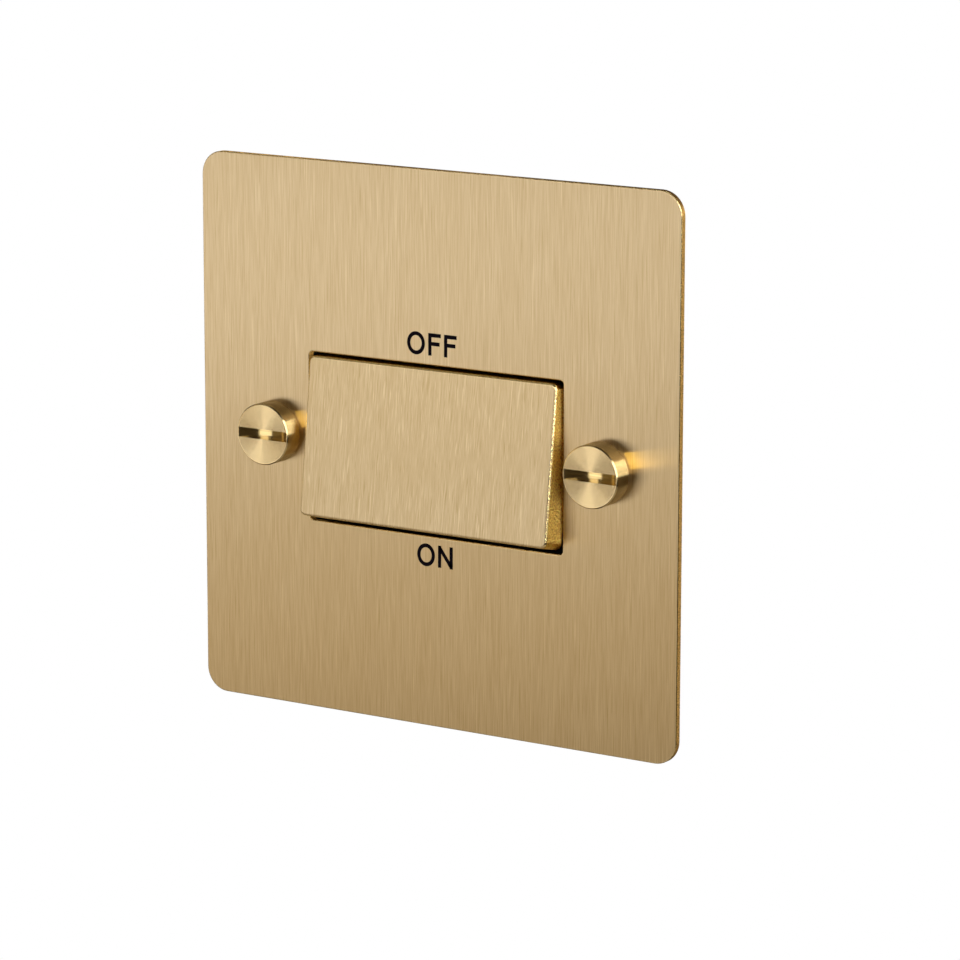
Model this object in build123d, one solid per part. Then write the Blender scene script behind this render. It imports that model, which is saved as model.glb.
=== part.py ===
from build123d import *
import math
import os

# Fan isolator switch: a brushed brass face plate with a tilting rocker and two coin screws,
# and behind it the three-pole switch module that the rocker works.
# The origin is the middle of the plate's back, on the wall. +X is right, +Y runs into the
# wall and +Z is up. Lengths are in mm and angles in degrees.
# The rocker is drawn in mid travel and then set to OFF, with its top pressed in.

# Face plate
plate_side = 87.5
plate_thick = 1.5
plate_corner_radius = 3.8
plate_edge_radius = 0.2
plate_back_chamfer = 0.5
aperture_width = 46.8
aperture_height = 27.0
aperture_corner_radius = 0.7
recess_side = 70.0
recess_depth = 0.3
recess_corner_radius = 3.0

# Coin screws, on the standard wall box centres
fixing_spacing = 60.3
fixing_hole_clearance = 0.25
coin_head_radius = 4.9
coin_head_height = 3.3
coin_head_chamfer = 0.2
coin_slot_width = 1.6
coin_slot_length = 9.2
coin_slot_depth = 1.5
coin_shank_radius = 1.75
coin_shank_length = 20.0
coin_neck_radius = 1.5
coin_neck_overrun = 0.3
coin_tip_chamfer = 0.5

# Rocker: gaps are taken at the pivot, and the walls lean in from there to the face
rocker_proud = 2.4
rocker_tilt = 7.0
rocker_side_gap = 0.4
rocker_end_gap = 0.45
rocker_side_draft = 3.5
rocker_end_draft = 6.0
rocker_corner_radius = 1.0
rocker_edge_radius = 0.45
cap_face_thick = 1.5
cap_wall = 1.2
cap_skirt_short = 0.4
cap_core_clearance = 0.05

# Pivot pin
pin_radius = 1.0
pin_retaining_gap = 0.05
pin_fit_clearance = 0.02
pin_bearing_clearance = 0.05
pin_end_inset = 0.3
pin_cap_clearance = 0.3

# Rocker core, with a spring socket for each pole
core_corner_radius = 0.4
hub_half_height = 2.6
hub_wall = 1.1
hub_edge_radius = 0.8
socket_radius = 3.1
socket_reach = 8.6
socket_mouth_chamfer = 0.4
spring_seat_wall = 0.7

# Plungers and their springs
plunger_reach = 12.5
plunger_tip_radius = 1.3
plunger_head_radius = 1.65
plunger_head_height = 1.8
plunger_bore_clearance = 0.1
plunger_tip_clearance = 0.05
spring_room = 4.6
spring_wire_radius = 0.22
spring_coil_radius = 1.3
spring_turns = 4.5
spring_end_gap = 0.05

# Poles and their rocking contacts
pole_pitch_share = 0.28
contact_tilt = 10.0
contact_thick = 0.8
contact_width = 5.4
contact_half_length = 9.9
contact_slope = 38.0
contact_bend_radius = 1.0
contact_bend_flat = 0.1
contact_pin_radius = 0.6
contact_pin_root = 0.6
contact_pin_clearance = 0.05
contact_side_clearance = 0.3
tip_offset = 8.5
moving_tip_radius = 1.4
moving_tip_height = 1.1
fixed_tip_radius = 1.6
fixed_tip_height = 0.7
closed_gap = 0.08

# Front moulding
frame_side_room = 0.2
frame_side_wall = 1.4
frame_end_wall = 1.6
frame_end_room = 0.4
frame_depth = 12.0
frame_corner_radius = 1.5
frame_floor_thick = 1.5
frame_floor_depth = 6.5
flange_side_overhang = 0.5
flange_end_overhang = 8.0
flange_thick = 2.0
flange_corner_radius = 3.0
flange_edge_radius = 0.4
window_clearance = 0.5
rib_thick = 1.4
rib_count = 3
rib_drop = 6.0
rib_setback = 1.2

# Weld studs and nuts that hold the front moulding to the plate
stud_radius = 1.5
stud_length = 6.0
stud_side_inset = 5.5
stud_end_inset = 3.9
stud_hole_clearance = 0.2
nut_across_flats = 5.5
nut_height = 2.4
nut_thread_clearance = 0.02

# Rear moulding
base_height = 41.0
base_depth = 13.4
base_corner_radius = 1.5
base_edge_chamfer = 0.5
base_floor_wall = 2.0
pole_wall = 3.0
pole_cavity_height = 23.0
tower_wall = 1.6
base_screw_side_gap = 2.1
base_screw_spacing_z = 16.0
base_screw_radius = 1.1
base_screw_bite = 3.2
base_screw_head_radius = 2.1
base_screw_head_height = 1.5
base_screw_head_chamfer = 0.4
base_screw_clearance = 0.25
base_screw_fit = 0.02
boss_radius = 2.5

# Terminals
pillar_width = 6.8
pillar_length = 7.0
pillar_setback = 0.5
pillar_edge_radius = 0.5
terminal_clearance = 0.2
tongue_width = 5.0
tongue_thick = 1.0
ear_thick = 0.8
ear_half_length = 1.6
cradle_lead = 1.6
ear_overrun = 0.3
wire_radius = 1.7
wire_floor_wall = 0.1
clamp_screw_radius = 1.5
clamp_screw_fit = 0.02
clamp_head_radius = 2.6
clamp_head_height = 1.8
clamp_head_chamfer = 0.3
driver_slot_width = 0.8
driver_slot_depth = 0.9
clamp_lift = 0.6
clamp_tip_gap = 0.25

# Earth terminal on the plate's back
earth_drop = 30.2
earth_width = 8.0
earth_height = 7.0
earth_depth = 8.6
earth_wire_depth = 3.4

# Cuts run on past the faces that they open
overcut = 1.0

# Places worked out from the sizes above
plate_front = -plate_thick
recess_floor = -recess_depth
pivot_depth = recess_floor + pin_retaining_gap + pin_radius
face_depth = plate_front - rocker_proud
skirt_end = pivot_depth - cap_skirt_short
cap_inner_face = face_depth + cap_face_thick
spring_seat = pivot_depth + pin_radius + spring_seat_wall
socket_mouth = pivot_depth + socket_reach
plunger_back = spring_seat + spring_room
plunger_bore_radius = plunger_head_radius + plunger_bore_clearance
tip_centre = plunger_reach - plunger_tip_radius
contact_depth = pivot_depth + plunger_reach + plunger_tip_clearance + contact_thick / 2
frame_front = recess_floor
frame_back = frame_front + frame_depth
flange_back = frame_front + flange_thick
frame_inner_width = aperture_width + 2 * frame_side_room
frame_inner_height = aperture_height + 2 * frame_end_room
frame_width = frame_inner_width + 2 * frame_side_wall
frame_outer_height = frame_inner_height + 2 * frame_end_wall
flange_width = frame_width + 2 * flange_side_overhang
flange_height = frame_outer_height + 2 * flange_end_overhang
stud_spacing_x = flange_width - 2 * stud_side_inset
stud_spacing_z = flange_height - 2 * stud_end_inset
base_screw_spacing_x = frame_inner_width - 2 * base_screw_side_gap
pole_pitch = pole_pitch_share * frame_width
pole_cavity_width = pole_pitch - pole_wall
floor_front = frame_front + frame_floor_depth
floor_back = floor_front + frame_floor_thick
base_front = frame_back
base_back = base_front + base_depth

# The tip of a plunger, seen from its rocking contact, runs along an arc that curves about the
# rocker. The dish of the contact follows that arc, so the plunger stays on it in every pose.
contact_ratio = contact_tilt / rocker_tilt
pivot_lead = contact_depth - pivot_depth - tip_centre
tip_run = tip_centre - pivot_lead * contact_ratio
tip_rise = tip_centre / 2 + tip_centre * contact_ratio - pivot_lead * contact_ratio ** 2 / 2
dish_radius = tip_run ** 2 / (2 * tip_rise) + plunger_tip_radius + plunger_tip_clearance
dish_bend = dish_radius + contact_thick / 2
slope_sine = math.sin(math.radians(contact_slope))
slope_cosine = math.cos(math.radians(contact_slope))
slope_run = (dish_bend * math.tan(math.radians(contact_slope))
             + contact_bend_radius * math.tan(math.radians(contact_slope / 2)) + contact_bend_flat)
dish_apex = contact_depth + dish_bend * (1 / slope_cosine - 1)
wing_depth = dish_apex - slope_run * slope_sine
wing_start = slope_run * slope_cosine

# Where the moving tip ends when the contact is closed sets the depth of the fixed tip and floor
wing_back = wing_depth + contact_thick / 2
tip_end = wing_back + moving_tip_height - contact_depth
closed_reach = (tip_end * math.cos(math.radians(contact_tilt))
                + (tip_offset + moving_tip_radius) * math.sin(math.radians(contact_tilt)))
fixed_face = contact_depth + closed_reach + closed_gap
tongue_front = fixed_face + fixed_tip_height
cavity_floor = tongue_front + tongue_thick
base_mid_back = cavity_floor + base_floor_wall
slot_start = pole_cavity_height / 2 + tower_wall
pillar_start = slot_start + terminal_clearance
pillar_middle = pillar_start + pillar_length / 2
pillar_front = base_front + terminal_clearance
pillar_back = base_back - pillar_setback
wire_depth = cavity_floor + wire_floor_wall + wire_radius
clamp_hole_radius = clamp_screw_radius + clamp_screw_fit

poles = {"left": -pole_pitch, "middle": 0.0, "right": pole_pitch}


def facing(depth):
    # A plane parallel to the wall, seen from the room: X to the right and Z up
    return Plane((0, depth, 0), x_dir=(1, 0, 0), z_dir=(0, -1, 0))


def slab(outline, front, back):
    return extrude(facing(back) * outline, amount=back - front)


def disc(x, z, radius, front, back):
    return slab(Pos(x, z) * Circle(radius), front, back)


def eased_disc(x, z, radius, front, back, ease):
    # A disc with the edge that faces into the wall box taken off
    return chamfer(disc(x, z, radius, front, back).faces().sort_by(Axis.Y)[-1].edges(), ease)


def bar(x, z, width, height, front, back):
    return slab(Pos(x, z) * Rectangle(width, height), front, back)


def cross_rod(depth, z, radius, start, end):
    return extrude(Plane.YZ.offset(start) * Pos(depth, z) * Circle(radius), amount=end - start)


def upright_rod(x, depth, radius, start, end):
    return extrude(Plane.XY.offset(start) * Pos(x, depth) * Circle(radius), amount=end - start)


def corners(spacing_x, spacing_z):
    return [(x * spacing_x / 2, z * spacing_z / 2) for x in (-1, 1) for z in (-1, 1)]


def at_off(shape):
    # The rocker and all that it carries, turned from mid travel to OFF
    return shape.rotate(Axis((0, pivot_depth, 0), (1, 0, 0)), -rocker_tilt)


def contact_open(shape):
    # A rocking contact, turned from level to open
    return shape.rotate(Axis((0, contact_depth, 0), (1, 0, 0)), contact_tilt)


def face_plate():
    outline = RectangleRounded(plate_side, plate_side, plate_corner_radius)
    outline -= RectangleRounded(aperture_width, aperture_height, aperture_corner_radius)
    for side in (-1, 1):
        outline -= Pos(side * fixing_spacing / 2, 0) * Circle(coin_shank_radius + fixing_hole_clearance)
    plate = slab(outline, plate_front, 0)
    rim = plate.faces().sort_by(Axis.Y)[-1].outer_wire().edges()
    plate = chamfer(rim, plate_back_chamfer)
    plate = fillet(plate.faces().sort_by(Axis.Y)[0].edges(), plate_edge_radius)
    plate -= slab(RectangleRounded(recess_side, recess_side, recess_corner_radius), recess_floor, overcut)
    for x, z in corners(stud_spacing_x, stud_spacing_z):
        plate += disc(x, z, stud_radius, recess_floor, recess_floor + stud_length)
    return plate


def coin_screw(x):
    head_front = plate_front - coin_head_height
    shank_end = plate_front + coin_shank_length
    profile = Polyline(
        (0, head_front),
        (coin_head_radius - coin_head_chamfer, head_front),
        (coin_head_radius, head_front + coin_head_chamfer),
        (coin_head_radius, plate_front),
        (coin_neck_radius, plate_front),
        (coin_neck_radius, coin_neck_overrun),
        (coin_shank_radius, coin_neck_overrun),
        (coin_shank_radius, shank_end - coin_tip_chamfer),
        (coin_shank_radius - coin_tip_chamfer, shank_end),
        (0, shank_end),
        close=True,
    )
    screw = revolve(make_face(profile), Axis.Y)
    # The slot is plunged by a round cutter, so its floor is an arc and its ends are closed
    cutter_radius = (coin_slot_length ** 2 / 4 + coin_slot_depth ** 2) / (2 * coin_slot_depth)
    cutter_middle = head_front + coin_slot_depth - cutter_radius
    screw -= upright_rod(0, cutter_middle, cutter_radius, -coin_slot_width / 2, coin_slot_width / 2)
    return Pos(x, 0, 0) * screw


def rocker_size(depth, inset):
    # The rocker's width and height at a depth, with its walls leaning in towards the face
    rise = pivot_depth - depth
    side = rocker_side_gap + rise * math.tan(math.radians(rocker_side_draft)) + inset
    end = rocker_end_gap + rise * math.tan(math.radians(rocker_end_draft)) + inset
    return aperture_width - 2 * side, aperture_height - 2 * end


def rocker_outline(depth, inset, corner_radius):
    return facing(depth) * RectangleRounded(*rocker_size(depth, inset), corner_radius)


def rocker_cap():
    cap = loft([rocker_outline(depth, 0, rocker_corner_radius) for depth in (skirt_end, face_depth)])
    cap = fillet(cap.faces().sort_by(Axis.Y)[0].edges(), rocker_edge_radius)
    hollow = (skirt_end + overcut, cap_inner_face)
    cap -= loft([rocker_outline(depth, cap_wall, core_corner_radius) for depth in hollow])
    cap -= cross_rod(pivot_depth, 0, pin_radius + pin_cap_clearance, -frame_width / 2, frame_width / 2)
    return at_off(cap)


def rocker_core():
    inset = cap_wall + cap_core_clearance
    core = loft([rocker_outline(depth, inset, core_corner_radius) for depth in (skirt_end, cap_inner_face)])
    hub_width = rocker_size(skirt_end, inset)[0]
    hub = bar(0, 0, hub_width, 2 * hub_half_height, skirt_end, pivot_depth + pin_radius + hub_wall)
    core += fillet(hub.faces().sort_by(Axis.Y)[-1].edges().filter_by(Axis.X), hub_edge_radius)
    for x in poles.values():
        core += eased_disc(x, 0, socket_radius, cap_inner_face, socket_mouth, socket_mouth_chamfer)
    for x in poles.values():
        core -= disc(x, 0, plunger_bore_radius, spring_seat, socket_mouth + overcut)
    core -= cross_rod(pivot_depth, 0, pin_radius + pin_fit_clearance, -hub_width, hub_width)
    return at_off(core)


def pivot_pin():
    reach = frame_width / 2 - pin_end_inset
    return at_off(cross_rod(pivot_depth, 0, pin_radius, -reach, reach))


def plunger(x):
    tip_depth = pivot_depth + tip_centre
    head_end = plunger_back + plunger_head_height
    outline = Polyline(
        (0, tip_depth),
        (0, plunger_back),
        (plunger_head_radius, plunger_back),
        (plunger_head_radius, head_end),
        (plunger_tip_radius, head_end),
        (plunger_tip_radius, tip_depth),
    )
    nose = CenterArc((0, tip_depth), plunger_tip_radius, 0, 90)
    close = Line((0, tip_depth + plunger_tip_radius), (0, tip_depth))
    return at_off(Pos(x, 0, 0) * revolve(make_face([outline, nose, close]), Axis.Y))


def plunger_spring(x):
    start = spring_seat + spring_end_gap + spring_wire_radius
    height = spring_room - 2 * (spring_end_gap + spring_wire_radius)
    coil = Helix(height / spring_turns, height, spring_coil_radius)
    wire = Plane(coil @ 0, z_dir=coil % 0) * RegularPolygon(spring_wire_radius, 6)
    spring = sweep(wire, path=coil, is_frenet=True)
    return at_off(Pos(x, start, 0) * Rot(-90, 0, 0) * spring)


def moving_contact(x):
    # A strip with a dish at its middle, level wings, and a pin at each side to rock on
    line = FilletPolyline(
        (wing_depth, -contact_half_length),
        (wing_depth, -wing_start),
        (dish_apex, 0),
        (wing_depth, wing_start),
        (wing_depth, contact_half_length),
        radius=[contact_bend_radius, dish_bend, contact_bend_radius],
    )
    strip = extrude(Plane.YZ.offset(x - contact_width / 2) * trace(line, contact_thick), amount=contact_width)
    pin_start = contact_width / 2 - contact_pin_root
    pin_end = contact_width / 2 + contact_side_clearance + ear_thick
    for start, end in ((-pin_end, -pin_start), (pin_start, pin_end)):
        strip += cross_rod(contact_depth, 0, contact_pin_radius, x + start, x + end)
    return contact_open(strip)


def moving_tip(x):
    return contact_open(disc(x, tip_offset, moving_tip_radius, wing_back, wing_back + moving_tip_height))


def fixed_tip(x):
    return disc(x, tip_offset, fixed_tip_radius, fixed_face, tongue_front)


def terminal_pillar(x, side):
    pillar = bar(x, side * pillar_middle, pillar_width, pillar_length, pillar_front, pillar_back)
    return fillet(pillar.edges().filter_by(Axis.Y), pillar_edge_radius)


def drill_pillar(terminal, x, side):
    # The bore that the wire goes into, and the tapped hole of the screw that clamps it
    ends = sorted((side * (pillar_start - overcut), side * (pillar_start + pillar_length + overcut)))
    terminal -= upright_rod(x, wire_depth, wire_radius, *ends)
    terminal -= disc(x, side * pillar_middle, clamp_hole_radius, wire_depth, pillar_back + overcut)
    return terminal


def load_terminal(x):
    start = tip_offset - fixed_tip_radius - tongue_thick / 2
    length = pillar_middle - start
    terminal = terminal_pillar(x, 1)
    terminal += bar(x, start + length / 2, tongue_width, length, tongue_front, cavity_floor)
    return drill_pillar(terminal, x, 1)


def supply_terminal(x):
    # The tongue ends in a cradle, with two notched ears that the rocking contact's pins sit in
    cradle_width = contact_width + 2 * (contact_side_clearance + ear_thick)
    cradle_length = 2 * ear_half_length + cradle_lead
    terminal = terminal_pillar(x, -1)
    terminal += bar(x, -pillar_middle / 2, tongue_width, pillar_middle, tongue_front, cavity_floor)
    terminal += bar(x, -cradle_lead / 2, cradle_width, cradle_length, tongue_front, cavity_floor)
    notch_radius = contact_pin_radius + contact_pin_clearance
    ear_front = contact_depth - notch_radius - ear_overrun
    for side in (-1, 1):
        ear_x = x + side * (cradle_width - ear_thick) / 2
        terminal += bar(ear_x, 0, ear_thick, 2 * ear_half_length, ear_front, cavity_floor)
    terminal -= cross_rod(contact_depth, 0, notch_radius, x - cradle_width, x + cradle_width)
    terminal -= bar(x, 0, 2 * cradle_width, 2 * notch_radius, ear_front - overcut, contact_depth)
    return drill_pillar(terminal, x, -1)


def driver_slot(x, z, head_radius, head_back):
    length = 2 * head_radius + overcut
    return bar(x, z, length, driver_slot_width, head_back - driver_slot_depth, head_back + overcut)


def clamp_screw(x, z, seat, bore_edge):
    # A slotted clamping screw, backed out so that the wire bore is clear
    head_front = seat + clamp_lift
    head_back = head_front + clamp_head_height
    screw = disc(x, z, clamp_screw_radius, bore_edge + clamp_tip_gap, head_front)
    screw += eased_disc(x, z, clamp_head_radius, head_front, head_back, clamp_head_chamfer)
    return screw - driver_slot(x, z, clamp_head_radius, head_back)


def terminal_screws():
    bore_edge = wire_depth + wire_radius
    places = [(x, side * pillar_middle) for x in poles.values() for side in (-1, 1)]
    return Compound(children=[clamp_screw(x, z, pillar_back, bore_edge) for x, z in places])


def earth_terminal():
    block = bar(0, -earth_drop, earth_width, earth_height, recess_floor, recess_floor + earth_depth)
    block = fillet(block.edges().filter_by(Axis.Y), pillar_edge_radius)
    wire = recess_floor + earth_wire_depth
    block -= cross_rod(wire, -earth_drop, wire_radius, -earth_width, earth_width)
    block -= disc(0, -earth_drop, clamp_hole_radius, wire, recess_floor + earth_depth + overcut)
    return block


def earth_screw():
    seat = recess_floor + earth_depth
    return clamp_screw(0, -earth_drop, seat, recess_floor + earth_wire_depth + wire_radius)


def stiffening_rib(x, side):
    root = side * (frame_outer_height / 2 - frame_end_wall / 2)
    tip = side * (flange_height / 2 - rib_setback)
    triangle = Polyline((flange_back, root), (flange_back + rib_drop, root), (flange_back, tip), close=True)
    return extrude(Plane.YZ.offset(x - rib_thick / 2) * make_face(triangle), amount=rib_thick)


def switch_frame():
    well_outline = RectangleRounded(frame_width, frame_outer_height, frame_corner_radius)
    flange_outline = RectangleRounded(flange_width, flange_height, flange_corner_radius)
    flange = slab(flange_outline, frame_front, flange_back)
    frame = fillet(flange.faces().sort_by(Axis.Y)[-1].edges(), flange_edge_radius)
    frame += slab(well_outline, frame_front, frame_back)
    for index in range(rib_count):
        for side in (-1, 1):
            frame += stiffening_rib((index - (rib_count - 1) / 2) * pole_pitch, side)
    hollow = Rectangle(frame_inner_width, frame_inner_height)
    frame -= slab(hollow, frame_front - overcut, floor_front)
    frame -= slab(hollow, floor_back, frame_back + overcut)
    # The floor has a window for each socket, and behind it a boss for each rear screw
    swing = (floor_back - pivot_depth) * math.sin(math.radians(rocker_tilt))
    window_width = 2 * (socket_radius + window_clearance)
    window_height = window_width + 2 * swing
    for x in poles.values():
        frame -= bar(x, 0, window_width, window_height, floor_front - overcut, floor_back + overcut)
    pilot_radius = base_screw_radius + base_screw_fit
    for x, z in corners(base_screw_spacing_x, base_screw_spacing_z):
        frame += disc(x, z, boss_radius, floor_front, frame_back)
        frame -= disc(x, z, pilot_radius, frame_back - base_screw_bite, frame_back + overcut)
    # The pin lies in slots that are open to the front, where the plate closes them
    slot_radius = pin_radius + pin_bearing_clearance
    frame -= cross_rod(pivot_depth, 0, slot_radius, -frame_width, frame_width)
    frame -= bar(0, 0, 2 * frame_width, 2 * slot_radius, frame_front - overcut, pivot_depth)
    for x, z in corners(stud_spacing_x, stud_spacing_z):
        frame -= disc(x, z, stud_radius + stud_hole_clearance, frame_front - overcut, flange_back + overcut)
    return frame


def frame_nuts():
    outline = RegularPolygon(nut_across_flats / 2, 6, major_radius=False)
    outline -= Circle(stud_radius + nut_thread_clearance)
    nut = slab(outline, flange_back, flange_back + nut_height)
    return Compound(children=[Pos(x, 0, z) * nut for x, z in corners(stud_spacing_x, stud_spacing_z)])


def terminal_base():
    tower_height = base_height / 2 - pole_cavity_height / 2
    tower_middle = (base_height / 2 + pole_cavity_height / 2) / 2
    base = slab(RectangleRounded(frame_width, base_height, base_corner_radius), base_front, base_back)
    base = chamfer(base.faces().sort_by(Axis.Y)[-1].edges(), base_edge_chamfer)
    base -= bar(0, 0, 2 * frame_width, pole_cavity_height, base_mid_back, base_back + overcut)
    slot_width = pillar_width + 2 * terminal_clearance
    notch_width = tongue_width + 2 * terminal_clearance
    for x in poles.values():
        base -= bar(x, 0, pole_cavity_width, pole_cavity_height, base_front - overcut, cavity_floor)
        for side in (-1, 1):
            slot_middle = side * (slot_start + tower_height / 2)
            base -= bar(x, slot_middle, slot_width, tower_height, base_front - overcut, base_back + overcut)
            base -= bar(x, side * tower_middle, notch_width, tower_height, base_front - overcut, cavity_floor)
    hole_radius = base_screw_radius + base_screw_clearance
    for x, z in corners(base_screw_spacing_x, base_screw_spacing_z):
        base -= disc(x, z, hole_radius, base_front - overcut, base_mid_back + overcut)
    return base


def base_screw(x, z):
    screw = disc(x, z, base_screw_radius, frame_back - base_screw_bite, base_mid_back)
    head_back = base_mid_back + base_screw_head_height
    screw += eased_disc(x, z, base_screw_head_radius, base_mid_back, head_back, base_screw_head_chamfer)
    return screw - driver_slot(x, z, base_screw_head_radius, head_back)


def base_screws():
    places = corners(base_screw_spacing_x, base_screw_spacing_z)
    return Compound(children=[base_screw(x, z) for x, z in places])


os.makedirs("parts", exist_ok=True)
single_pieces = {
    "face_plate": face_plate(),
    "coin_screws": Compound(children=[coin_screw(side * fixing_spacing / 2) for side in (-1, 1)]),
    "rocker_cap": rocker_cap(),
    "rocker_core": rocker_core(),
    "pivot_pin": pivot_pin(),
    "switch_frame": switch_frame(),
    "frame_nuts": frame_nuts(),
    "terminal_base": terminal_base(),
    "base_screws": base_screws(),
    "terminal_screws": terminal_screws(),
    "earth_terminal": earth_terminal(),
    "earth_screw": earth_screw(),
}
for name, shape in single_pieces.items():
    export_step(shape, f"parts/{name}.step")

pole_pieces = {
    "plunger": plunger,
    "plunger_spring": plunger_spring,
    "moving_contact": moving_contact,
    "moving_tip": moving_tip,
    "fixed_tip": fixed_tip,
    "load_terminal": load_terminal,
    "supply_terminal": supply_terminal,
}
for name, make in pole_pieces.items():
    for pole, x in poles.items():
        export_step(make(x), f"parts/{name}_{pole}.step")
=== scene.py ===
import math
import bmesh
import bpy
from mathutils import Euler, Matrix, Vector


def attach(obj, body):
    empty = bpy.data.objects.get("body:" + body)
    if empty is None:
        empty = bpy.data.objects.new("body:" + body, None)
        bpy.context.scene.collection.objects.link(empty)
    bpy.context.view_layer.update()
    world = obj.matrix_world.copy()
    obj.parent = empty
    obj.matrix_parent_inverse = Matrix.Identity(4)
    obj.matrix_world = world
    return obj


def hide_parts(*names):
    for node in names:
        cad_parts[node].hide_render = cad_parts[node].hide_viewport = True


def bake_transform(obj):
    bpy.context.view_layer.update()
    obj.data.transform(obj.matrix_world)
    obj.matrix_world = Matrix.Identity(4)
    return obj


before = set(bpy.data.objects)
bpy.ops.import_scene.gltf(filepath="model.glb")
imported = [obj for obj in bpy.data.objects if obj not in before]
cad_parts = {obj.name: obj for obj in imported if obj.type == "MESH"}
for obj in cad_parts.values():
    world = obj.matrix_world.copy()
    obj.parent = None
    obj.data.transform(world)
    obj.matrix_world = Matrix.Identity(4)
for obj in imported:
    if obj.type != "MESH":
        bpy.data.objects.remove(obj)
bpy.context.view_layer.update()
print("frame:", len(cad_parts), "CAD nodes")

mm = 0.001
fullTurn = 2 * math.pi
sharpAngle = math.radians(30)
near = {"fine": 1e-8, "turned": 1e-7, "cad": 1e-6, "thread": 2e-6}  # metres that count as touching


# shader sums as plain expressions
class Link:
    def __init__(self, tree, socket):
        self.tree = tree
        self.socket = socket

    def sum(self, operation, first, second):
        return self.tree.node("ShaderNodeMath", {"operation": operation}, {0: first, 1: second})

    def __add__(self, other):
        return self.sum("ADD", self, other)

    def __sub__(self, other):
        return self.sum("SUBTRACT", self, other)

    def __rsub__(self, other):
        return self.sum("SUBTRACT", other, self)

    def __mul__(self, other):
        return self.sum("MULTIPLY", self, other)

    def larger(self, other):
        return self.sum("MAXIMUM", self, other)

    __radd__ = __add__
    __rmul__ = __mul__


# a node tree, with one method that adds any node
class Tree:
    def __init__(self, nodeTree):
        self.nodeTree = nodeTree

    def node(self, kind, settings, sockets, output=0):
        made = self.nodeTree.nodes.new(kind)
        for name, value in settings.items():
            setattr(made, name, value)
        for name, value in sockets.items():
            self.feed(made.inputs[name], value)
        return Link(self, made.outputs[output])

    def feed(self, place, value):
        if isinstance(value, Link):
            self.nodeTree.links.new(value.socket, place)
        elif place.type == "RGBA":
            place.default_value = (*value, 1)
        else:
            place.default_value = value

    def coords(self, kind):
        return self.node("ShaderNodeTexCoord", {}, {}, kind)

    def along(self, vector, axis):
        return self.node("ShaderNodeSeparateXYZ", {}, {0: vector}, axis)

    def frontness(self):
        return self.along(self.coords("Normal"), "Y") * -1  # 1 on a face that looks straight ahead

    def noise(self, sizes, detail, roughness, shift=(0, 0, 0)):
        # sizes are the widths of the marks in mm, along x, y and z
        stretch = [1 / (size * mm) for size in sizes]
        settings = {"Vector": self.coords("Object"), "Scale": stretch, "Location": shift}
        placed = self.node("ShaderNodeMapping", {}, settings)
        sockets = {"Vector": placed, "Scale": 1.0, "Detail": detail, "Roughness": roughness}
        return self.node("ShaderNodeTexNoise", {}, sockets, "Fac")

    def between(self, value, low, high):
        sockets = {"Value": value, "From Min": low, "From Max": high}
        return self.node("ShaderNodeMapRange", {"interpolation_type": "SMOOTHSTEP"}, sockets)

    def blend(self, share, first, second):
        sockets = {0: share, 6: first, 7: second}
        return self.node("ShaderNodeMix", {"data_type": "RGBA"}, sockets, 2)

    def shaded(self, colour, amount):
        grey = self.node("ShaderNodeCombineColor", {}, {0: amount, 1: amount, 2: amount})
        settings = {"data_type": "RGBA", "blend_type": "MULTIPLY"}
        return self.node("ShaderNodeMix", settings, {0: 1.0, 6: colour, 7: grey}, 2)

    def bump(self, height, distance):
        sockets = {"Height": height, "Distance": distance, "Strength": 1.0}
        return self.node("ShaderNodeBump", {}, sockets)


def newFinish(name):
    material = bpy.data.materials.new(name)
    material.use_nodes = True
    return material, Tree(material.node_tree)


def setShader(tree, sockets):
    shader = tree.nodeTree.nodes["Principled BSDF"]
    for name, value in sockets.items():
        tree.feed(shader.inputs[name], value)


def newObject(name, shape, finish):
    mesh = bpy.data.meshes.new(name)
    shape.to_mesh(mesh)
    shape.free()
    mesh.materials.append(finish)
    made = bpy.data.objects.new(name, mesh)
    bpy.context.collection.objects.link(made)
    return made


# a piece without a body of its own is left unattached
def makePiece(name, shape, finish, body):
    piece = newObject(name, shape, finish)
    piece.data.shade_smooth()
    piece.data.set_sharp_from_angle(angle=sharpAngle)
    if body:
        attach(piece, body)
    return piece


# brushed brass: vertical grain with pale and dark scratches on the faces, gritty edges and walls;
# the rounded edges get a paler colour as a painted highlight, and the walls their own colour as
# painted light: a darker brown on the plate as painted shade, a brighter, deeper gold on the rocker
# as a painted reflection
plateLook = {
    "deep": (0.605, 0.433, 0.205),
    "pale": (0.885, 0.720, 0.465),
    # painted shade: a darker brown on the plate's sides and aperture walls
    "wall": (0.76, 0.47, 0.14),
    # painted highlight: a paler colour on the rounded edges, so their highlights read white
    "edgeHighlight": (0.88, 0.68, 0.36),
    "roughness": 0.36,
    "anisotropy": 1.0,
    "hairSize": (0.09, 2.0, 6.5),
    "paleSize": (0.14, 2.0, 11.0),
    "darkSize": (0.13, 2.0, 8.0),
    "bandSize": (0.9, 9.0, 40.0),
    "gritSize": (0.20, 0.20, 0.20),
    "paleShift": (31, 7, 13),
    "darkShift": (11, 3, 47),
    "edgeRange": (0.80, 0.96),
    "wallRange": (0.20, 0.50),
    "paleRange": (0.60, 0.74),
    "darkRange": (0.62, 0.76),
    "gritRange": (0.30, 0.70),
    "hairTone": 1.5,
    "paleTone": 0.36,
    "darkTone": 0.32,
    "bandTone": 0.17,
    "gritBase": 0.62,
    "gritTone": 0.84,
    "hairDepth": 0.0008,
    "gritDepth": 0.15,
    "edgeShare": 0.12,
    "wallShare": 0.88,
    "hairRough": 0.03,
    "edgeSmooth": 0.16,
    "wallRough": 0.20,
}
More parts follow.
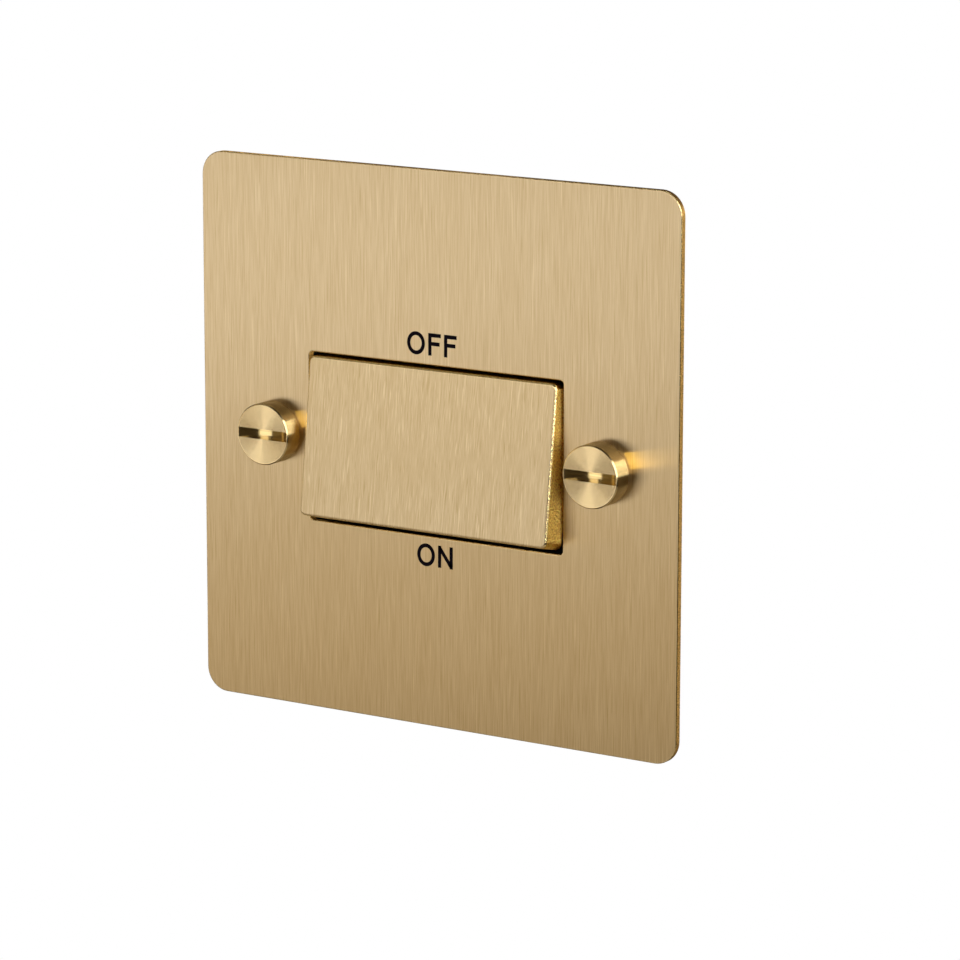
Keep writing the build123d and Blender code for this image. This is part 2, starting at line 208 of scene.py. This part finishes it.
rockerLook = dict(
    plateLook,
    # painted reflection: a brighter, deeper gold on the rocker's walls, standing in for the brass
    # around them
    wall=(0.93, 0.59, 0.155),
    # painted highlight: a paler colour on the rocker's rounded edges
    edgeHighlight=(0.93, 0.72, 0.38),
    hairSize=(0.10, 2.0, 3.6),
    paleSize=(0.18, 2.0, 4.8),
    darkSize=(0.14, 2.0, 4.5),
    gritSize=(0.30, 0.30, 0.30),
    paleTone=0.64,
    darkTone=0.48,
    gritDepth=0.09,
)


def brushedBrass(name, look):
    material, tree = newFinish(name)
    hairs = tree.noise(look["hairSize"], detail=3.0, roughness=0.65)
    pale = tree.noise(look["paleSize"], detail=1.0, roughness=0.5, shift=look["paleShift"])
    dark = tree.noise(look["darkSize"], detail=1.0, roughness=0.5, shift=look["darkShift"])
    bands = tree.noise(look["bandSize"], detail=1.0, roughness=0.5)
    grit = tree.noise(look["gritSize"], detail=2.0, roughness=0.6)
    front = tree.frontness()
    edge = 1 - tree.between(front, *look["edgeRange"])  # rounded edges and walls
    side = 1 - tree.between(front, *look["wallRange"])  # walls only
    paleMarks = tree.between(pale, *look["paleRange"]) * look["paleTone"]
    darkMarks = tree.between(dark, *look["darkRange"]) * look["darkTone"]
    grain = 0.5 + (hairs - 0.5) * look["hairTone"] + (bands - 0.5) * look["bandTone"]
    face = tree.blend(grain + (paleMarks - darkMarks), look["deep"], look["pale"])
    gritty = look["gritBase"] + tree.between(grit, *look["gritRange"]) * look["gritTone"]
    # the rim colour is painted light over the random grit tone: the paler edge colour is a painted
    # highlight, the wall colour is painted shade on the plate and a painted reflection on the rocker
    rim = tree.shaded(tree.blend(side, look["edgeHighlight"], look["wall"]), gritty)
    gritShare = look["edgeShare"] * edge + look["wallShare"] * side
    height = hairs * (1 - edge) * look["hairDepth"] + grit * gritShare * look["gritDepth"]
    rough = look["roughness"] + (hairs - 0.5) * look["hairRough"] - edge * look["edgeSmooth"]
    setShader(tree, {
        "Base Color": tree.blend(edge, face, rim),
        "Metallic": 1.0,
        "Roughness": rough + side * look["wallRough"],
        "Anisotropic": look["anisotropy"],
        "Normal": tree.bump(height, mm),
    })
    return material


# turned brass of the coin screws: clear polish, the grooves are in the mesh; the slot floor takes a
# darker colour as painted shade, over its real milling marks
turnedLook = {
    "colour": (0.62, 0.485, 0.27),
    # painted shade: the darker colour of the slot floor
    "slot": (0.56, 0.43, 0.20),
    "milled": 0.15,
    "roughness": 0.20,
    "polish": 0.09,
    "depth": 0.0006,
    "faceY": -4.8,
    "sunkRange": (0.05, 0.20),
    "wallRange": (0.30, 0.65),
    "cloudSize": (2.2, 2.2, 2.2),
    "turningSize": (6.0, 0.07, 6.0),
    "millingSize": (9.0, 9.0, 0.24),
    "toneBase": 0.95,
    "cloudTone": 0.10,
    "turningTone": 0.05,
    "millingTone": 0.9,
    "cloudRough": 0.05,
}


def turnedBrass(name, look):
    material, tree = newFinish(name)
    cloud = tree.noise(look["cloudSize"], detail=3.0, roughness=0.55)
    turning = tree.noise(look["turningSize"], detail=1.0, roughness=0.5)
    milling = tree.noise(look["millingSize"], detail=2.0, roughness=0.5)
    side = 1 - tree.between(tree.frontness(), *look["wallRange"])  # polished wall, face as turned
    # the slot floor, found by depth, carries both the painted shade of the slot and its real milling
    # marks
    floor = [(look["faceY"] + below) * mm for below in look["sunkRange"]]
    slotShadeAndMilling = tree.between(tree.along(tree.coords("Object"), "Y"), *floor) * (1 - side)
    tone = look["toneBase"] + cloud * look["cloudTone"] + (turning - 0.5) * look["turningTone"]
    tone = tone + (milling - 0.5) * slotShadeAndMilling * look["millingTone"]
    polished = side * (look["roughness"] - look["polish"])
    rough = look["roughness"] - polished - slotShadeAndMilling * (look["roughness"] - look["milled"])
    # the base colour darkens the slot floor: painted shade
    setShader(tree, {
        "Base Color": tree.shaded(tree.blend(slotShadeAndMilling, look["colour"], look["slot"]), tone),
        "Metallic": 1.0,
        "Roughness": rough + (cloud - 0.5) * look["cloudRough"],
        "Normal": tree.bump(turning * side, look["depth"] * mm),
    })
    return material


# plain metals of the works: drawn, stamped or plated
metalLook = {
    "patchSize": (3.5, 3.5, 3.5),
    "wornRange": (0.42, 0.72),
    "toneBase": 0.88,
    "markTone": 0.24,
    "patchRough": 0.18,
    "markRough": 0.10,
}


def workMetal(name, colour, tarnish, roughness, grain, depth):
    look = metalLook
    material, tree = newFinish(name)
    patches = tree.noise(look["patchSize"], detail=4.0, roughness=0.6)
    marks = tree.noise(grain, detail=2.0, roughness=0.6)
    worn = tree.blend(tree.between(patches, *look["wornRange"]), colour, tarnish)
    rough = roughness + (patches - 0.5) * look["patchRough"] + (marks - 0.5) * look["markRough"]
    setShader(tree, {
        "Base Color": tree.shaded(worn, look["toneBase"] + marks * look["markTone"]),
        "Metallic": 1.0,
        "Roughness": rough,
        "Normal": tree.bump(marks, depth * mm),
    })
    return material


# moulded plastic: spark-eroded skin with faint flow marks and dust
mouldingLook = {
    "flowSize": (9.0, 9.0, 4.0),
    "dustSize": (0.35, 0.35, 0.35),
    "dustShift": (5, 9, 2),
    "dustRange": (0.58, 0.78),
    "dustTone": 0.35,
    "flowTone": 0.30,
    "flowRough": 0.16,
    "skinRough": 0.12,
}


def moulding(name, colour, pale, roughness, skin, depth):
    look = mouldingLook
    material, tree = newFinish(name)
    sparks = tree.noise((skin, skin, skin), detail=2.0, roughness=0.6)
    flow = tree.noise(look["flowSize"], detail=3.0, roughness=0.55)
    motes = tree.noise(look["dustSize"], detail=3.0, roughness=0.6, shift=look["dustShift"])
    dust = tree.between(motes, *look["dustRange"])
    rough = roughness + (flow - 0.5) * look["flowRough"] + (sparks - 0.5) * look["skinRough"]
    setShader(tree, {
        "Base Color": tree.blend(dust * look["dustTone"] + flow * look["flowTone"], colour, pale),
        "Roughness": rough,
        "Normal": tree.bump(sparks, depth * mm),
    })
    return material


plateBrass = brushedBrass("plateBrass", plateLook)
rockerBrass = brushedBrass("rockerBrass", rockerLook)
screwBrass = turnedBrass("screwBrass", turnedLook)
slotFinish = {
    "brushed_brass": plateBrass,
    "rocker_brass": rockerBrass,
    "turned_brass": screwBrass,
    "core_moulding": moulding(
        "coreMoulding", colour=(0.62, 0.60, 0.55), pale=(0.70, 0.68, 0.63),
        roughness=0.42, skin=0.20, depth=0.006),
    "front_moulding": moulding(
        "frontMoulding", colour=(0.010, 0.010, 0.011), pale=(0.040, 0.040, 0.042),
        roughness=0.46, skin=0.16, depth=0.010),
    "rear_moulding": moulding(
        "rearMoulding", colour=(0.013, 0.013, 0.014), pale=(0.045, 0.045, 0.047),
        roughness=0.40, skin=0.16, depth=0.008),
    "plunger_moulding": moulding(
        "plungerMoulding", colour=(0.55, 0.52, 0.46), pale=(0.65, 0.62, 0.56),
        roughness=0.36, skin=0.20, depth=0.005),
    "terminal_brass": workMetal(
        "terminalBrass", colour=(0.76, 0.56, 0.27), tarnish=(0.62, 0.42, 0.18),
        roughness=0.30, grain=(0.12, 3.0, 0.6), depth=0.004),
    "contact_copper": workMetal(
        "contactCopper", colour=(0.86, 0.48, 0.32), tarnish=(0.66, 0.33, 0.20),
        roughness=0.30, grain=(0.15, 0.6, 4.0), depth=0.003),
    "contact_silver": workMetal(
        "contactSilver", colour=(0.86, 0.85, 0.82), tarnish=(0.66, 0.63, 0.57),
        roughness=0.26, grain=(0.2, 0.2, 0.2), depth=0.002),
    "pin_steel": workMetal(
        "pinSteel", colour=(0.62, 0.61, 0.59), tarnish=(0.50, 0.49, 0.47),
        roughness=0.24, grain=(6.0, 0.12, 0.12), depth=0.002),
    "zinc_steel": workMetal(
        "zincSteel", colour=(0.72, 0.71, 0.67), tarnish=(0.60, 0.60, 0.62),
        roughness=0.34, grain=(0.25, 0.25, 0.25), depth=0.004),
    "screw_steel": workMetal(
        "screwSteel", colour=(0.74, 0.71, 0.62), tarnish=(0.64, 0.60, 0.50),
        roughness=0.30, grain=(0.25, 0.25, 0.25), depth=0.003),
    "spring_steel": workMetal(
        "springSteel", colour=(0.55, 0.54, 0.53), tarnish=(0.44, 0.43, 0.42),
        roughness=0.28, grain=(0.10, 0.10, 0.10), depth=0.002),
}
print("finishes:", len(slotFinish), "slots")


# coin screws: turned face with real tool grooves, curved coin slot, helical thread behind
screwSizes = {
    "spacing": 60.3,
    "faceY": -4.8,
    "seatY": -1.5,
    "headRadius": 4.9,
    "chamfer": 0.2,
    "footChamfer": 0.08,
    "slotWidth": 1.6,
    "slotLength": 9.2,
    "slotDepth": 1.5,
    "groovePitch": 0.085,
    "grooveDepth": 0.010,
    "trough": ((0, 0), (0.25, 0.75), (0.5, 1), (0.75, 0.75)),
    "wallPitch": 0.20,
    "wallDepth": 0.040,
    "landAndTrough": ((0, 0), (0.25, 0), (0.4375, 0.75), (0.625, 1), (0.8125, 0.75)),
    "around": 96,
    "neckRadius": 1.5,
    "threadStart": 0.35,
    "threadEnd": 18.2,
    "threadRadius": 1.75,
    "threadRoot": 1.44,
    "threadPitch": 0.6,
    "crestShare": (0.12, 0.46, 0.58),
    "threadAround": 40,
    "tipY": 18.5,
    "tipRadius": 1.25,
}


def openEdges(shape, keep):
    rims = [edge for edge in shape.edges if edge.is_boundary]
    return [edge for edge in rims if keep((edge.verts[0].co + edge.verts[1].co) / 2)]


def closeUp(shape):
    rims = [edge for edge in shape.edges if edge.is_boundary]
    bmesh.ops.holes_fill(shape, edges=rims, sides=0)
    bmesh.ops.recalc_face_normals(shape, faces=shape.faces)


# a line of points in mm, as radius and y, ready to be spun
def profile(shape, points):
    line = [shape.verts.new((radius * mm, y * mm, 0)) for radius, y in points]
    return line + [shape.edges.new(pair) for pair in zip(line, line[1:])]


# each groove is a shallow trough left by the tool's nose; the wall has a plain land between grooves
def headProfile(size):
    faceY, pitch, wallPitch = size["faceY"], size["groovePitch"], size["wallPitch"]
    faceRadius = size["headRadius"] - size["chamfer"]
    count = int(faceRadius / pitch)
    wallTop, wallFoot = faceY + size["chamfer"], size["seatY"] - size["footChamfer"]
    wallCount = int((wallFoot - wallTop) / wallPitch)
    neckEnd = size["threadStart"] + size["threadPitch"]
    points = []
    for ring in range(count):
        for share, depth in size["trough"]:
            points.append(((ring + share) * pitch, faceY + depth * size["grooveDepth"]))
    points += [(count * pitch, faceY), (faceRadius, faceY)]
    for ring in range(wallCount):
        for share, depth in size["landAndTrough"]:
            radius = size["headRadius"] - depth * size["wallDepth"]
            points.append((radius, wallTop + (ring + share) * wallPitch))
    points += [
        (size["headRadius"], wallTop + wallCount * wallPitch),
        (size["headRadius"], wallFoot),
        (size["headRadius"] - size["footChamfer"], size["seatY"]),
        (size["neckRadius"], size["seatY"]),
        (size["neckRadius"], neckEnd),
        (0, neckEnd),
    ]
    return points


def screwHead(size):
    head = bmesh.new()
    bmesh.ops.spin(head, geom=profile(head, headProfile(size)), cent=(0, 0, 0), axis=(0, 1, 0),
                   angle=fullTurn, steps=size["around"], use_merge=True)
    bmesh.ops.remove_doubles(head, verts=head.verts, dist=near["turned"])
    # the slot opening is cut out of the turned face
    halfWidth, halfLength = size["slotWidth"] / 2 * mm, size["slotLength"] / 2 * mm
    faceLimit = (size["faceY"] + size["chamfer"] / 2) * mm
    cuts = (((0, 0, halfWidth), (0, 0, 1)), ((0, 0, -halfWidth), (0, 0, 1)),
            ((halfLength, 0, 0), (1, 0, 0)), ((-halfLength, 0, 0), (1, 0, 0)))
    for place, across in cuts:
        front = [face for face in head.faces if face.calc_center_median().y < faceLimit]
        rim = {part for face in front for part in (*face.verts, *face.edges)}
        bmesh.ops.bisect_plane(head, geom=front + list(rim), dist=near["fine"],
                               plane_co=place, plane_no=across)
    opening = []
    for face in head.faces:
        middle = face.calc_center_median()
        if middle.y < faceLimit and abs(middle.x) < halfLength and abs(middle.z) < halfWidth:
            opening.append(face)
    bmesh.ops.delete(head, geom=opening, context="FACES")
    # its walls go down to a floor that follows the milling cutter's arc
    slotDepth = size["slotDepth"] * mm
    cutter = (halfLength ** 2 + slotDepth ** 2) / (2 * slotDepth)
    centreY = (size["faceY"] + size["slotDepth"]) * mm - cutter
    floorEdges = []
    for side in (-1, 1):
        wall = openEdges(head, lambda middle: abs(middle.z - side * halfWidth) < near["cad"])
        lowered = bmesh.ops.extrude_edge_only(head, edges=wall)["geom"]
        for part in lowered:
            if isinstance(part, bmesh.types.BMVert):
                reach = math.sqrt(max(cutter ** 2 - part.co.x ** 2, 0))
                part.co.y = max(centreY + reach, part.co.y)
            elif isinstance(part, bmesh.types.BMEdge) and all(v in lowered for v in part.verts):
                floorEdges.append(part)
    bmesh.ops.bridge_loops(head, edges=floorEdges)
    closeUp(head)
    return head


def threadedShank(size):
    shank = bmesh.new()
    start, pitch, around = size["threadStart"], size["threadPitch"], size["threadAround"]
    turns = int((size["threadEnd"] - start) / pitch)
    crest, root = size["threadRadius"], size["threadRoot"]
    rise, top, fall = size["crestShare"]
    shares = ((root, 0), (root, rise), (crest, top), (crest, fall), (root, 1.0))
    points = [(radius, start + share * pitch) for radius, share in shares]
    bmesh.ops.spin(shank, geom=profile(shank, points), cent=(0, 0, 0), axis=(0, 1, 0),
                   angle=fullTurn * turns, steps=around * turns, dvec=(0, pitch / around * mm, 0))
    bmesh.ops.remove_doubles(shank, verts=shank.verts, dist=near["thread"])
    middleY = (start + size["threadEnd"]) / 2 * mm
    ends = ((lambda middle: middle.y < middleY, start, root),
            (lambda middle: middle.y > middleY, size["tipY"], size["tipRadius"]))
    for keep, y, radius in ends:
        rim = bmesh.ops.extrude_edge_only(shank, edges=openEdges(shank, keep))["geom"]
        for vertex in rim:
            if isinstance(vertex, bmesh.types.BMVert):
                across = Vector((vertex.co.x, 0, vertex.co.z)).normalized() * radius * mm
                vertex.co = (across.x, y * mm, across.z)
    bmesh.ops.remove_doubles(shank, verts=shank.verts, dist=near["turned"])
    closeUp(shank)
    return shank


def joined(shapes, places):
    whole = bmesh.new()
    for shape in shapes:
        for place in places:
            copy = bpy.data.meshes.new("copy")
            shape.to_mesh(copy)
            copy.transform(place)
            whole.from_mesh(copy)
            bpy.data.meshes.remove(copy)
        shape.free()
    return whole


screwXs = [side * screwSizes["spacing"] / 2 for side in (-1, 1)]
screwPlaces = [Matrix.Translation((screwX * mm, 0, 0)) for screwX in screwXs]
screwShapes = [screwHead(screwSizes), threadedShank(screwSizes)]
coinScrews = makePiece(
    "coinScrews", joined(screwShapes, screwPlaces), screwBrass, "housing")
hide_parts("coin_screws")
print("coin screws:", len(coinScrews.data.polygons), "faces")


# rocker cap: the CAD shape as clean polygons, with its broad faces kept flat up to their rims
capSizes = {
    "flatAngle": 0.3,
    "broadArea": 15.0,
    "rim": 0.05,
    "grainCentre": (0, 1, 0),
    "grainSize": (1, 1, 1),
}


def flatShape(node, size):
    shape = bmesh.new()
    shape.from_mesh(node.data)
    bmesh.ops.remove_doubles(shape, verts=shape.verts, dist=near["cad"])
    bmesh.ops.dissolve_limit(shape, angle_limit=math.radians(size["flatAngle"]),
                             verts=shape.verts, edges=shape.edges)
    broad = [face for face in shape.faces if face.calc_area() > size["broadArea"] * mm * mm]
    bmesh.ops.inset_individual(shape, faces=broad, thickness=size["rim"] * mm, use_even_offset=True)
    return shape


rockerCap = makePiece(
    "rockerCap", flatShape(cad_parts["rocker_cap"], capSizes),
    rockerBrass, "rocker")
# a far centre keeps the grain's direction the same all over the face
rockerCap.data.use_auto_texspace = False
rockerCap.data.texspace_location = capSizes["grainCentre"]
rockerCap.data.texspace_size = capSizes["grainSize"]
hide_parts("rocker_cap")
print("rocker cap:", len(rockerCap.data.polygons), "faces")


# plunger springs: round wire, each held by the rocker in front and pressed by its plunger behind
springSizes = {
    "startY": 2.72,
    "height": 4.06,
    "coilRadius": 1.3,
    "wireRadius": 0.2,
    "turns": 4.5,
    "around": 40,
    "wireAround": 12,
    "pivotY": 0.75,
    "tilt": -7.0,
    "poles": {"left": -14.0, "middle": 0.0, "right": 14.0},
}


def coilSpring(size, place):
    shape = bmesh.new()
    steps = int(size["turns"] * size["around"])
    bmesh.ops.create_circle(shape, segments=size["wireAround"], radius=size["wireRadius"] * mm,
                            matrix=Matrix.Translation((size["coilRadius"] * mm, 0, 0)))
    bmesh.ops.spin(shape, geom=shape.verts[:] + shape.edges[:], cent=(0, 0, 0), axis=(0, 1, 0),
                   angle=fullTurn * size["turns"], steps=steps,
                   dvec=(0, size["height"] / steps * mm, 0))
    bmesh.ops.remove_doubles(shape, verts=shape.verts, dist=near["fine"])
    closeUp(shape)
    bmesh.ops.transform(shape, matrix=place, verts=shape.verts)
    return shape


pivot = Matrix.Translation((0, springSizes["pivotY"] * mm, 0))
tilt = pivot @ Matrix.Rotation(math.radians(springSizes["tilt"]), 4, "X") @ pivot.inverted()
for pole, poleX in springSizes["poles"].items():
    place = tilt @ Matrix.Translation((poleX * mm, springSizes["startY"] * mm, 0))
    spring = makePiece(pole + "Spring", coilSpring(springSizes, place),
                       slotFinish["spring_steel"], None)
    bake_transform(spring)
    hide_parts("plunger_spring_" + pole)
print("plunger springs:", len(spring.data.polygons), "faces each")


# OFF and ON: engraved strokes filled with black enamel, flush with the plate
letterSizes = {
    "stroke": 0.61,
    "frontY": -1.506,
    "backY": -1.40,
    "offLow": 15.0,
    "onLow": -18.2,
    "capHeight": 3.5,
    "ovalOver": 0.06,
    "ovalAround": 56,
    "barHeight": 0.53,
    "barShort": 0.22,
    "off": [("oval", -4.94, -1.64), ("eff", -1.04, 1.28), ("eff", 1.86, 4.18)],
    "on": [("oval", -3.11, 0.18), ("en", 0.74, 3.50)],
}


def stroke(shape, ends, size):
    # one square-ended bar from end to end
    (startX, startZ), (endX, endZ) = ends
    length = math.hypot(endX - startX, endZ - startZ)
    depth = size["backY"] - size["frontY"]
    middle = ((startX + endX) / 2, (size["backY"] + size["frontY"]) / 2, (startZ + endZ) / 2)
    place = Matrix.Translation([part * mm for part in middle])
    turn = Matrix.Rotation(-math.atan2(endZ - startZ, endX - startX), 4, "Y")
    scale = Matrix.Diagonal((length * mm, depth * mm, size["stroke"] * mm, 1))
    bmesh.ops.create_cube(shape, size=1, matrix=place @ turn @ scale)


def oval(shape, left, right, low, size):
    halfWide = (right - left) / 2
    halfTall = size["capHeight"] / 2 + size["ovalOver"]
    middle = (left + halfWide, size["frontY"], low + size["capHeight"] / 2)
    place = Matrix.Translation([part * mm for part in middle])
    turn = Matrix.Rotation(math.pi / 2, 4, "X")
    rings = []
    for inset in (0, size["stroke"]):
        scale = Matrix.Diagonal(((halfWide - inset) * mm, 1, (halfTall - inset) * mm, 1))
        ring = bmesh.ops.create_circle(shape, segments=size["ovalAround"], radius=1,
                                       matrix=place @ scale @ turn)["verts"]
        rings += {edge for vertex in ring for edge in vertex.link_edges}
    band = bmesh.ops.bridge_loops(shape, edges=rings)["faces"]
    deeper = bmesh.ops.extrude_face_region(shape, geom=band)["geom"]
    back = [part for part in deeper if isinstance(part, bmesh.types.BMVert)]
    bmesh.ops.translate(shape, verts=back, vec=(0, (size["backY"] - size["frontY"]) * mm, 0))


def lettering(size):
    shape = bmesh.new()
    inset = size["stroke"] / 2
    for word in ("off", "on"):
        low = size[word + "Low"]
        high = low + size["capHeight"]
        middle = low + size["capHeight"] * size["barHeight"]
        for kind, left, right in size[word]:
            if kind == "oval":
                oval(shape, left, right, low, size)
                continue
            first, last, butt = left + inset, right - inset, left + size["stroke"]
            bars = {
                "eff": [((first, low), (first, high)),
                        ((butt, high - inset), (right, high - inset)),
                        ((butt, middle), (right - size["barShort"], middle))],
                "en": [((first, low), (first, high)),
                       ((last, low), (last, high)),
                       ((first, high - inset), (last, low + inset))],
            }[kind]
            for ends in bars:
                stroke(shape, ends, size)
    bmesh.ops.remove_doubles(shape, verts=shape.verts, dist=near["fine"])
    bmesh.ops.recalc_face_normals(shape, faces=shape.faces)
    return shape


enamelLook = {
    "deep": (0.002, 0.001, 0.003),
    "pale": (0.006, 0.004, 0.008),
    "cloudSize": (0.5, 0.5, 0.5),
    "roughness": 0.45,
    "cloudRough": 0.2,
    "gloss": 0.02,
    "depth": 0.004,
}


def blackEnamel(look):
    material, tree = newFinish("blackEnamel")
    cloud = tree.noise(look["cloudSize"], detail=3.0, roughness=0.6)
    setShader(tree, {
        "Base Color": tree.blend(cloud, look["deep"], look["pale"]),
        "Roughness": look["roughness"] + cloud * look["cloudRough"],
        "Specular IOR Level": look["gloss"],
        "Normal": tree.bump(cloud, look["depth"] * mm),
    })
    return material


words = makePiece(
    "offAndOn", lettering(letterSizes), blackEnamel(enamelLook), "housing")
print("lettering:", len(words.data.polygons), "faces")


# every CAD node takes the finish of its slot, in its own shape
nodeFinish = {
    "face_plate": "brushed_brass",
    "rocker_cap": "rocker_brass",
    "coin_screws": "turned_brass",
    "rocker_core": "core_moulding",
    "switch_frame": "front_moulding",
    "terminal_base": "rear_moulding",
    "plunger": "plunger_moulding",
    "plunger_spring": "spring_steel",
    "moving_contact": "contact_copper",
    "moving_tip": "contact_silver",
    "fixed_tip": "contact_silver",
    "load_terminal": "terminal_brass",
    "supply_terminal": "terminal_brass",
    "earth_terminal": "terminal_brass",
    "pivot_pin": "pin_steel",
    "frame_nuts": "zinc_steel",
    "base_screws": "zinc_steel",
    "terminal_screws": "screw_steel",
    "earth_screw": "screw_steel",
}
for nodeName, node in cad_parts.items():
    stem = nodeName
    for pole in springSizes["poles"]:
        stem = stem.removesuffix("_" + pole)
    node.data.materials.clear()
    node.data.materials.append(slotFinish[nodeFinish[stem]])
print("CAD finishes set")


# studio: a pale floor in front of and below the plate, a dim room in front, white behind
leftSide = (-48, -15)
coolWhite, warmWhite = (1.0, 0.98, 0.95), (1.0, 0.97, 0.90)
studio = {
    "floorColour": (0.74, 0.67, 0.57),
    "floorZ": -0.60,
    "floorFront": -0.85,
    "floorBack": -0.05,
    "floorHalf": 1.0,
    "floorCloud": 1000 / 9,
    "floorBase": 0.97,
    "floorTone": 0.06,
    "floorRough": 0.9,
    "floorGloss": 0.1,
    "ambient": 0.12,
    "room": 0.06,
    "roomLeft": 0.24,
    "roomSide": 0.25,
    "roomTint": (1.0, 0.72, 0.36),
    "behindRange": (0.88, 0.97),
    "aheadRange": (-0.10, 0.20),
    "leftRange": (0.70, 0.80),
    "rightRange": (0.0, 0.3),
    "asideRange": (0.10, 0.50),
    "distance": 1.0,
    # azimuth and elevation in degrees, glow and tint
    "boxes": {
        "leftKnee": (leftSide, (-36, -20.5), 0.90, (1.0, 0.92, 0.80)),
        "leftFoot": (leftSide, (-19, -14.5), 1.44, (1.0, 0.88, 0.70)),
        "leftLow": (leftSide, (-14.5, -11), 1.64, (1.0, 0.93, 0.82)),
        "leftMid": (leftSide, (-11, -4), 2.38, (1.0, 1.0, 1.03)),
        "leftWaist": (leftSide, (-4, 1), 1.67, coolWhite),
        "leftHigh": (leftSide, (1, 9), 2.02, coolWhite),
        "leftTop": ((-38, -18), (9, 24), 1.9, coolWhite),
        "rightBox": ((48, 88), (-3, 38), 3.7, warmWhite),
        "frontBox": ((14, 44), (14, 36), 3.8, warmWhite),
        "overhead": ((-80, -10), (40, 66), 0.24, (1.0, 0.90, 0.72)),
    },
    "glint": {
        "radius": 4.97,
        "angle": 28.0,
        "y": -2.6,
        "deep": 1.8,
        "tall": 2.7,
        "spread": 120.0,
        "tint": (1.0, 0.72, 0.15),
        "glow": {"leftGlint": 1.3, "rightGlint": 2.3},
    },
}


def areaLamp(name, size, glow, tint, place, back):
    lamp = bpy.data.lights.new(name, "AREA")
    lamp.shape = "RECTANGLE"
    lamp.size, lamp.size_y = size
    lamp.energy = glow * math.pi * lamp.size * lamp.size_y
    lamp.color = tint
    box = bpy.data.objects.new(name, lamp)
    box.location = place
    box.rotation_euler = back.to_track_quat("Z", "Y").to_euler()
    box.visible_camera = False
    bpy.context.collection.objects.link(box)
    return lamp


def softBox(name, azimuth, elevation, glow, tint, distance):
    # spans the given angles, seen from the plate; azimuth 0 is straight ahead of the plate
    turn, lift = (math.radians(sum(angles) / 2) for angles in (azimuth, elevation))
    level = math.cos(lift)
    back = Vector((math.sin(turn) * level, -math.cos(turn) * level, math.sin(lift)))
    halves = [math.radians(high - low) / 2 for low, high in (azimuth, elevation)]
    size = [2 * distance * math.tan(half) for half in halves]
    areaLamp(name, size, glow, tint, back * distance, back)


def wallGlint(name, look, screwX):
    # stands for the glare that a screw's polished wall throws along the plate
    angle = math.radians(look["angle"])
    out = Vector((math.cos(angle), 0, math.sin(angle)))
    place = Vector((screwX * mm, look["y"] * mm, 0)) + out * look["radius"] * mm
    size = (look["deep"] * mm, look["tall"] * mm)
    lamp = areaLamp(name, size, look["glow"][name], look["tint"], place, -out)
    lamp.spread = math.radians(look["spread"])


def paleFloor(look):
    material, tree = newFinish("paleFloor")
    tone = tree.noise([look["floorCloud"]] * 3, detail=3.0, roughness=0.5)
    setShader(tree, {
        "Base Color": tree.shaded(look["floorColour"], look["floorBase"] + tone * look["floorTone"]),
        "Roughness": look["floorRough"],
        "Specular IOR Level": look["floorGloss"],
    })
    shape = bmesh.new()
    middleY = (look["floorFront"] + look["floorBack"]) / 2
    halfDeep = (look["floorBack"] - look["floorFront"]) / 2
    scale = Matrix.Diagonal((look["floorHalf"], halfDeep, 1, 1))
    place = Matrix.Translation((0, middleY, look["floorZ"])) @ scale
    bmesh.ops.create_grid(shape, x_segments=4, y_segments=4, size=1, matrix=place)
    floor = newObject("floor", shape, material)


def whiteWorld(look):
    world = bpy.data.worlds.new("studioWhite")
    world.use_nodes = True
    bpy.context.scene.world = world
    tree = Tree(world.node_tree)
    seen, glossy, through = (
        tree.node("ShaderNodeLightPath", {}, {}, "Is " + ray + " Ray")
        for ray in ("Camera", "Glossy", "Transmission"))
    way = tree.coords("Generated")
    wayX, wayY = tree.along(way, "X"), tree.along(way, "Y")
    behind = tree.between(wayY, *look["behindRange"])
    ahead = 1 - tree.between(wayY, *look["aheadRange"])
    leftward = tree.between(wayX * -1, *look["leftRange"]) * ahead
    rightward = tree.between(wayX, *look["rightRange"])
    aside = tree.between(wayY, *look["asideRange"]) * rightward
    room = look["room"] + leftward * (look["roomLeft"] - look["room"])
    room = room + aside * (look["roomSide"] - look["room"])
    mirrored = room + behind * (1 - room)
    shown = seen.larger(through)
    dimness = glossy * (1 - behind) * (1 - shown)
    plain = look["ambient"] + glossy * (mirrored - look["ambient"])
    background = world.node_tree.nodes["Background"]
    tree.feed(background.inputs["Color"], tree.blend(dimness, (1, 1, 1), look["roomTint"]))
    tree.feed(background.inputs["Strength"], plain + shown * (1 - plain))


paleFloor(studio)
whiteWorld(studio)
for boxName, boxLook in studio["boxes"].items():
    softBox(boxName, *boxLook, studio["distance"])
for glintName, screwX in zip(studio["glint"]["glow"], screwXs):
    wallGlint(glintName, studio["glint"], screwX)

cameraLook = {
    "place": (0.365993, -0.555462, 0.133697),
    "turn": (78.248, -0.09353, 32.85763),
    "lens": 164.709,
    "sensor": 36.0,
    "clip": (0.01, 20),
}
cameraData = bpy.data.cameras.new("camera")
cameraData.lens = cameraLook["lens"]
cameraData.sensor_width = cameraLook["sensor"]
cameraData.clip_start, cameraData.clip_end = cameraLook["clip"]
camera = bpy.data.objects.new("camera", cameraData)
camera.location = cameraLook["place"]
camera.rotation_euler = Euler([math.radians(angle) for angle in cameraLook["turn"]], "XYZ")
bpy.context.collection.objects.link(camera)
bpy.context.scene.camera = camera
bpy.context.scene.view_settings.view_transform = "Standard"
print("studio and camera set")
